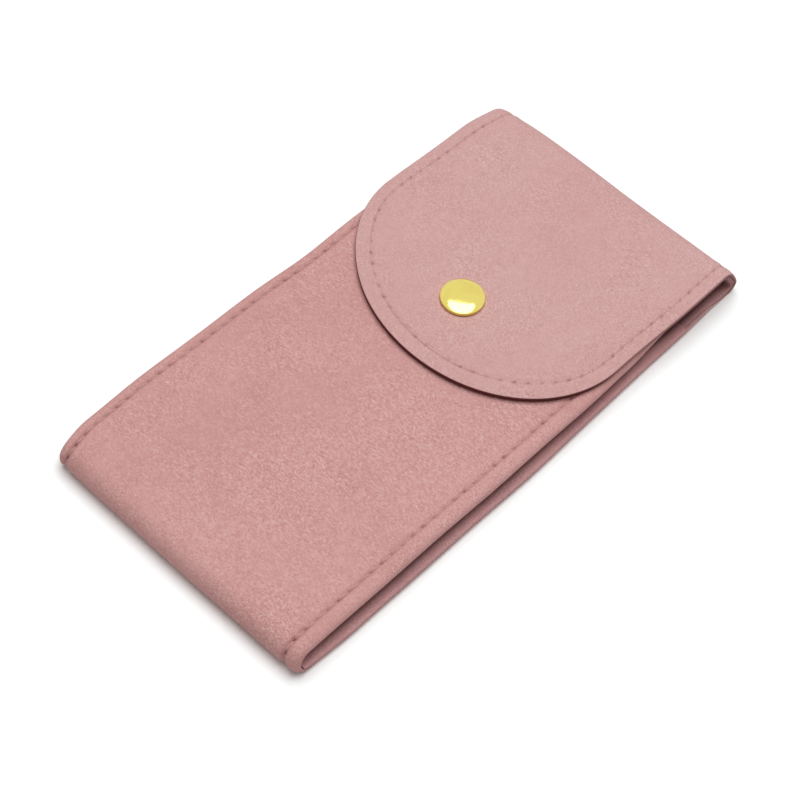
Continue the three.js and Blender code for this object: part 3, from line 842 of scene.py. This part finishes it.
def make_lower_lining():
    def half(s):
        return lower_half(s) - LINING_SET_IN

    flat = Flat(half, lower_seam, lower_lining_rows, None, 2, (lower_snap, RIVET_HOLE))
    ply = Ply(flat, lower_path, -1, LINING, np.zeros_like)
    ply.pocket = board_pocket(ply, "front_board", fold_length - PANEL_START)
    # Painted shade on the lining's rim at the sides and at the mouth
    ply.rim_shade += MOUTH_EDGE_SHADE
    return ply.build("lower_lining", mouth_end)


back_flat, back_skin = make_upper_skin("back_cloth", back_rows)
flap_flat, flap_skin = make_upper_skin("flap_cloth", flap_rows, tongue_reach, (upper_snap, POST_HOLE))
lower_flat, lower_skin = make_lower_skin()
back_lining = make_upper_lining("back_lining_cloth", back_lining_rows)[1]
lining_reach = tongue_reach - PLY_STEP
flap_lining_flat, flap_lining = make_upper_lining(
    "flap_lining_cloth", flap_lining_rows, lining_reach, (upper_snap, SOCKET_HOLE)
)
lower_lining = make_lower_lining()
for piece in (back_skin, flap_skin):
    dress(piece, flap_suede)
dress(lower_skin, suede)
for piece in (back_lining, flap_lining, lower_lining):
    dress(piece, lining)


# Gussets: a V with its point inwards, a flange under the front panel and one on the back panel


def bezier(points, count):
    t = np.linspace(0, 1, count)[:, None]
    a, b, c, d = (np.array(p, float) for p in points)
    return (1 - t) ** 3 * a + 3 * (1 - t) ** 2 * t * b + 3 * (1 - t) * t**2 * c + t**3 * d


def gusset_line(lip, upper_edge):
    """The middle line of the gusset's section in X and Z, from the lip on the back to the front panel."""
    middle, bend = CAVITY_MIDDLE, FRONT_HALF - GUSSET_FLANGE
    floor = CAVITY_FLOOR + GUSSET_THICKNESS / 2
    apex = box_mm("right_gusset")[0][0] + GUSSET_THICKNESS / 2
    straight = np.linspace([lip - GUSSET_ROUND, floor], [bend + 1.5, floor], 6)[:-1]
    curve = bezier([(bend + 1.5, floor), (bend - 2, floor), (apex, middle - 1.2), (apex, middle)], 14)
    lower = np.concatenate([straight, curve])
    upper = (lower[::-1] * [1, -1] + [0, 2 * middle])[1:]
    upper[-5:, 0] = np.linspace(bend + 2.2, upper_edge - 0.35, 5)
    return np.concatenate([lower, upper])


def gusset_section(lip, upper_edge):
    """The closed outline of the gusset's section: slot side, upper end, inner side, lip."""
    line = gusset_line(lip, upper_edge)
    along = unit(np.gradient(line, axis=0))
    across = np.stack([-along[:, 1], along[:, 0]], axis=1)
    half = GUSSET_THICKNESS / 2 - 0.02
    inner, outer = line + half * across, line - half * across
    ends = np.radians([-60, -20, 20, 60])
    cap = [line[-1] + half * (math.cos(a) * along[-1] + math.sin(a) * across[-1]) for a in ends]
    base = inner[0, 1]
    lip_edge = [(lip - 0.02, base)]
    for a in np.radians([25, 50, 75]):
        across_lip = lip - GUSSET_ROUND + GUSSET_ROUND * math.cos(a)
        lip_edge.append((across_lip, base + 2 * half * math.sin(a)))
    return np.array([*outer, *cap, *inner[::-1], *lip_edge]), len(line)


def section_end(first, strip):
    """Faces that close a section's end, across the strip and at its two tips."""
    inner = [first + 2 * strip + 3 - i for i in range(strip)]
    outer = [first + i for i in range(strip)]
    faces = [[outer[i], outer[i + 1], inner[i + 1], inner[i]] for i in range(strip - 1)]
    tip = list(range(outer[-1], inner[-1] + 1))
    lip = [*range(inner[0], inner[0] + 5), outer[0]]
    return faces + [tip, lip]


def make_gusset(name, side):
    fold_radius = (CAVITY_ROOF - CAVITY_FLOOR) / 2
    closing = PANEL_START - fold_radius * np.sin(np.radians([74, 62, 50, 38, 26, 13]))
    stations = np.array([*closing, *np.linspace(PANEL_START, MOUTH - 0.4, 90)])
    rings, shades = [], []
    for y in stations:
        run = max(y - PANEL_START, 0.0)
        lip = float(upper_half(run))
        outline, strip = gusset_section(lip, float(lower_half(fold_length + run)) - 1.0)
        past = max(PANEL_START - y, 0.0)
        squeeze = math.sqrt(1 - (past / fold_radius) ** 2)
        outline[:, 1] = CAVITY_MIDDLE + (outline[:, 1] - CAVITY_MIDDLE) * squeeze
        rings.append(np.stack([side * outline[:, 0], np.full(len(outline), y), outline[:, 1]], axis=1))
        # Painted shade on the slot side: darker deeper in the slot under the front panel's edge, fading far
        # inside the pouch
        depth = lip - outline[:, 0]
        in_slot = smooth(depth, 2.1 - float(smooth(y, 42, 54)), 3.6) * (1 - 0.7 * smooth(depth, 6, 10))
        shades.append(SLOT_SHADE * in_slot * (np.arange(len(outline)) < strip + 4))
    count = len(rings[0])
    points = settle(np.concatenate(rings))
    faces = tube_faces(0, len(rings), count) + section_end(0, strip)
    faces += [face[::-1] for face in section_end(len(points) - count, strip)]
    if side < 0:
        faces = [face[::-1] for face in faces]
    return make_mesh(name, points, faces, np.concatenate(shades))


# The gussets wear the cooler copy of the suede, tinted for painted shade
right_gusset = dress(make_gusset("right_gusset_cloth", 1), shaded_gusset_suede)
left_gusset = dress(make_gusset("left_gusset_cloth", -1), shaded_gusset_suede)


# Thread: each stitch is a short twisted tube that dives into the cloth at both ends

STITCH_SIDES, STITCH_STEPS = 7, 9
STITCH_START, STITCH_SHARE = 0.06, 0.88
TWIST_SWELL, TWIST_TURN = 0.14, 15


class SeamLine:
    """A seam's line on the flat ply, by the length travelled along it."""

    def __init__(self, line, outward, travel):
        self.travel, self.columns = travel, np.concatenate([line, outward], axis=1).T
        self.stitches = int(round(travel[-1] / PITCH))
        self.pitch = travel[-1] / self.stitches

    def at(self, travel):
        """Places on the line and the outward directions there."""
        x, s, out_x, out_s = (np.interp(travel, self.travel, column) for column in self.columns)
        return np.stack([x, s], axis=-1), np.stack([out_x, out_s], axis=-1)


def band_seam(flat, band=0):
    """The seam along one of a ply's bands: 0 is the right or the whole edge, 1 the left."""
    nodes = flat.bands[band][:, 0]
    inset = flat.seam(flat.place[nodes, 0], flat.place[nodes, 1])
    line = flat.place[nodes] - inset[:, None] * flat.outward[nodes]
    return SeamLine(line, flat.outward[nodes], flat.travel[nodes])


def mouth_seam():
    """The seam along the mouth edge, from side to side."""
    reach, s = FRONT_HALF - FRONT_RIGHT_SEAM, mouth_end - BODY_SEAM
    line = np.array([[reach, s], [-reach, s]])
    return SeamLine(line, np.array([[0.0, 1.0]] * 2), np.array([0, 2 * reach]))


def stitch(path, seam, number, level, side):
    """One stitch: rings of points round its middle line."""
    t = np.linspace(0, 1, STITCH_STEPS)
    place, outward = seam.at((number + STITCH_START + STITCH_SHARE * t) * seam.pitch)
    place = place + outward * (THREAD_SLANT * (2 * t - 1))[:, None]
    height = level - THREAD_DIVE * np.abs(2 * t - 1) ** 5
    line = path.fold(place, side * height)
    along = unit(np.gradient(line, axis=0))
    across = unit(np.cross(along, path.fold(place, side * (height + 1)) - line))
    up = np.cross(across, along)
    angle = 2 * math.pi * np.arange(STITCH_SIDES) / STITCH_SIDES
    twist = np.cos(2 * angle[None] - TWIST_TURN * t[:, None])
    radius = THREAD_RADIUS * (1 + TWIST_SWELL * twist)[..., None]
    round_it = np.cos(angle)[None, :, None] * across[:, None] + np.sin(angle)[None, :, None] * up[:, None]
    return (line[:, None] + radius * round_it).reshape(-1, 3)


def stitch_faces(first):
    last = first + (STITCH_STEPS - 1) * STITCH_SIDES
    ends = [list(range(first, first + STITCH_SIDES)), list(range(last + STITCH_SIDES - 1, last - 1, -1))]
    return tube_faces(first, STITCH_STEPS, STITCH_SIDES) + ends


def make_thread(name, path, seam, level, skip=(0, 0), side=1):
    """A seam's thread at a level that depends on the place, with some stitches left out at both ends."""
    points, faces = [], []
    for number in range(skip[0], seam.stitches - skip[1]):
        middle = seam.at((number + 0.5) * seam.pitch)[0]
        faces += stitch_faces(len(points) * STITCH_STEPS * STITCH_SIDES)
        points.append(stitch(path, seam, number, level(middle[1]), side))
    return dress(make_mesh(name, np.concatenate(points), faces, sharp=80), thread)


def upper_level(s):
    return SKIN - mix(BACK_SINK, FLAP_SINK, float(smooth(s, back_length + 3, back_length + 9)))


def lower_level(s):
    return SKIN - FRONT_SINK - float(fold_pull(s))


def lining_level(s):
    return LINING - LINING_SINK


lining_line = band_seam(flap_lining_flat)
under_skip = (int(6 / lining_line.pitch),) * 2
back_right = make_thread("back_right_stitches", upper_path, band_seam(back_flat), upper_level, (1, 0))
back_left = make_thread("back_left_stitches", upper_path, band_seam(back_flat, 1), upper_level, (0, 1))
flap_stitches = make_thread("flap_stitches", upper_path, band_seam(flap_flat), upper_level)
under_stitches = make_thread("flap_under_stitches", upper_path, lining_line, lining_level, under_skip, -1)
front_right = make_thread("front_right_stitches", lower_path, band_seam(lower_flat), lower_level, (0, 1))
front_left = make_thread("front_left_stitches", lower_path, band_seam(lower_flat, 1), lower_level, (1, 0))
mouth_stitches = make_thread("mouth_stitches", lower_path, mouth_seam(), lower_level)


# The snap: turned parts with rounded edges

LATHE_SIDES = 96
FACE_RADIUS, FACE_TILT, SHOULDER_RING, SHOULDER_TILT = 3.0, 5, 5.1, 28


def arc(centre, radius, start, end, count):
    angles = np.radians(np.linspace(start, end, count))
    return [(centre[0] + radius * math.cos(a), centre[1] + radius * math.sin(a)) for a in angles]


def lathe(name, profile):
    """A turned part round the snap's axis, from (radius, z) points up its outside, from axis to axis."""
    angles = np.linspace(0, 2 * math.pi, LATHE_SIDES, endpoint=False)
    inner = profile[1:-1]
    points = [(SNAP[0] + r * math.cos(a), SNAP[1] + r * math.sin(a), z) for r, z in inner for a in angles]
    first, last = len(points), len(points) + 1
    points += [(*SNAP, profile[0][1]), (*SNAP, profile[-1][1])]
    faces = [[a, d, c, b] for a, b, c, d in tube_faces(0, len(inner), LATHE_SIDES)]
    end = (len(inner) - 1) * LATHE_SIDES
    for k in range(LATHE_SIDES):
        faces.append([first, (k + 1) % LATHE_SIDES, k])
        faces.append([last, end + k, end + (k + 1) % LATHE_SIDES])
    return dress(make_mesh(name, np.array(points), faces, sharp=40), brass)


def make_cap():
    top, seat = cap_high[2], FLAP_TOP - 0.2
    face_tilt, shoulder_tilt = math.radians(FACE_TILT), math.radians(SHOULDER_TILT)
    drop = FACE_RADIUS * math.tan(face_tilt) / 2
    face = [(r, top - drop * (r / FACE_RADIUS) ** 2) for r in np.linspace(0, FACE_RADIUS, 6)]
    brow_radius = (SHOULDER_RING - FACE_RADIUS) / (math.sin(shoulder_tilt) - math.sin(face_tilt))
    brow_at = FACE_RADIUS - brow_radius * math.sin(face_tilt)
    brow_low = top - drop - brow_radius * math.cos(face_tilt)
    brow = arc((brow_at, brow_low), brow_radius, 90 - FACE_TILT, 90 - SHOULDER_TILT, 10)[1:]
    edge_radius = (CAP_RADIUS - 0.02 - SHOULDER_RING) / (1 - math.sin(shoulder_tilt))
    edge_centre = CAP_RADIUS - 0.02 - edge_radius
    edge_low = brow[-1][1] - edge_radius * math.cos(shoulder_tilt)
    edge = arc((edge_centre, edge_low), edge_radius, 85 - SHOULDER_TILT, 0, 8)
    skirt = [(CAP_RADIUS - 0.04, seat + 0.3), (CAP_RADIUS - 0.15, seat + 0.08), (CAP_RADIUS - 0.3, seat)]
    post = [(1.3, seat), (1.0, seat - 0.25), (1.0, cap_low[2] + 0.1), (0.9, cap_low[2]), (0, cap_low[2])]
    return lathe("snap_cap_cover", (face + brow + edge + skirt + post)[::-1])


def make_socket():
    radius, bore, low, top = SOCKET_RADIUS, 2.4, box_mm("snap_socket")[0][2], FLAP_MIDDLE - 0.05
    back = [(0, top), (1.2, top), (radius - 0.3, top), (radius - 0.05, top - 0.1), (radius, top - 0.25)]
    face = arc((radius - 0.3, low + 0.3), 0.3, 0, -90, 5) + [(radius - 1.2, low)]
    ring = [(radius - 1.35, low + 0.12), (bore + 0.7, low + 0.12), (bore + 0.6, low), (bore + 0.2, low)]
    hole = [(bore, low + 0.15), (bore, top - 0.3), (0, top - 0.3)]
    return lathe("snap_socket_ring", (back + face + ring + hole)[::-1])


def make_stud():
    top, seat = box_mm("snap_stud")[1][2], FRONT_TOP - 0.4
    disc = [(0, seat + 0.02), (STUD_RADIUS - 0.2, seat + 0.02), (STUD_RADIUS, seat + 0.15)]
    disc += arc((STUD_RADIUS - 0.15, FRONT_TOP - 0.15), 0.15, 0, 90, 4) + [(2.9, FRONT_TOP)]
    neck_and_ball = ((2.1, 0.02), (1.85, 0.15), (1.8, 0.3), (1.95, 0.45), (2.1, 0.65), (2.05, 0.85))
    ball = [(r, FRONT_TOP + height) for r, height in neck_and_ball]
    tip = [(1.75, top - 0.03), (1.5, top), (1.2, top - 0.05), (1.05, top - 0.5), (0, top - 0.55)]
    return lathe("snap_stud_post", disc + ball + tip)


def make_rivet():
    low = box_mm("snap_rivet")[0][2]
    high, tip = low + 0.4, FRONT_TOP - 0.42
    head = [(0, low), (RIVET_RADIUS - 0.6, low), *arc((RIVET_RADIUS - 0.2, low + 0.2), 0.2, -90, 90, 7)]
    shank = [(1.3, high), (1.1, high + 0.15), (1.1, tip), (0, tip)]
    return lathe("snap_rivet_head", head + shank)


snap_cap, snap_socket, snap_stud, snap_rivet = make_cap(), make_socket(), make_stud(), make_rivet()


# What each piece rides on and stands for


for piece in (flap_skin, flap_lining, flap_stitches, under_stitches):
    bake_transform(piece)
for piece in (lower_skin, lower_lining, right_gusset, left_gusset, front_right, front_left):
    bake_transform(piece)
for piece in (back_skin, back_lining, back_right, back_left):
    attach(piece, "back")
for piece in (mouth_stitches, snap_stud, snap_rivet):
    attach(piece, "front")
for piece in (snap_cap, snap_socket):
    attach(piece, "flap")

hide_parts("back_skin")
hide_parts("back_lining")
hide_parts("top_fold_skin", "flap_skin")
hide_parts("top_fold_lining", "flap_lining")
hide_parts("bottom_fold_skin", "front_skin")
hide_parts("bottom_fold_lining", "front_lining")
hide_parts("right_gusset")
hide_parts("left_gusset")
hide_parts("back_right_thread")
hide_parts("back_left_thread")
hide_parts("front_right_thread")
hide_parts("front_left_thread")
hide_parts("mouth_thread")
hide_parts("flap_thread")
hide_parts("snap_cap")
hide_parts("snap_socket")
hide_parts("snap_stud")
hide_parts("snap_rivet")

for node in ("back_board", "front_board", "flap_board"):
    shown = bpy.data.objects[node]
    shown.data.materials.clear()
    shown.data.materials.append(board)


# Floor, light and camera

FLOOR_COLOUR = (0.85, 0.84, 0.84)
FLOOR_SEEN = (1.14, 1.18, 1.17)
WORLD_LIGHT = 0.24


def make_floor():
    """A pale floor that looks white where nothing shades it."""
    reach = 1.5
    corners = [(-reach, -reach, 0), (reach, -reach, 0), (reach, reach, 0), (-reach, reach, 0)]
    mesh = bpy.data.meshes.new("floor")
    mesh.from_pydata(corners, [], [[0, 1, 2, 3]])
    floor = add_object("floor", mesh)
    shader = Shader(bpy.data.materials.new("pale floor"))
    seen = shader.node("LightPath").outputs["Is Camera Ray"]
    colour = shader.blend(seen, FLOOR_COLOUR, FLOOR_SEEN)
    shader.set(Base_Color=colour, Roughness=1.0, Specular_IOR_Level=0.0)
    mesh.materials.append(shader.owner)


def make_world():
    """Even light from all round, and a white background for the camera, for metal and for glass."""
    world = bpy.data.worlds.new("studio")
    bpy.context.scene.world = world
    shader = Shader(world, "Background")
    rays = shader.node("LightPath").outputs
    seen = rays["Is Camera Ray"]
    for kind in ("Is Glossy Ray", "Is Transmission Ray"):
        seen = shader.node("Math", {0: seen, 1: rays[kind]}, operation="MAXIMUM").outputs[0]
    shader.set(Strength=shader.spread(seen, 0, 1, WORLD_LIGHT, 1.0), Color=(1, 1, 1))


def add_lamp(name, place, aim, size, watts):
    lamp = bpy.data.lights.new(name, "AREA")
    lamp.shape, lamp.size, lamp.energy = "DISK", size, watts
    thing = add_object(name, lamp)
    thing.location = place
    thing.rotation_euler = (Vector(aim) - Vector(place)).to_track_quat("-Z", "Y").to_euler()


def make_camera(azimuth, elevation, roll, distance, target, lens):
    """A camera at the photograph's viewing angle: azimuth 0 looks along +Y."""
    a, e, turn = math.radians(azimuth), math.radians(elevation), math.radians(roll)
    back = Vector((math.sin(a) * math.cos(e), -math.cos(a) * math.cos(e), math.sin(e)))
    right = Vector((math.cos(a), math.sin(a), 0))
    up = back.cross(right)
    across = math.cos(turn) * right + math.sin(turn) * up
    upward = math.cos(turn) * up - math.sin(turn) * right
    camera = add_object("camera", bpy.data.cameras.new("camera"))
    camera.data.lens, camera.data.sensor_width, camera.data.sensor_fit = lens, 36, "HORIZONTAL"
    camera.data.clip_start, camera.data.clip_end = 0.01, 10
    axes = Matrix((across, upward, back)).transposed().to_4x4()
    axes.translation = Vector(target) + back * distance
    camera.matrix_world = axes
    bpy.context.scene.camera = camera


make_floor()
make_world()
add_lamp("overhead light", place=(-0.04, 0.08, 1.0), aim=(0, 0, 0), size=0.95, watts=8.5)
make_camera(
    azimuth=37.21, elevation=54.04, roll=7.53, distance=0.4752, target=(0.0041, -0.00766, 0), lens=93.6
)
bpy.context.scene.view_settings.view_transform = "Standard"
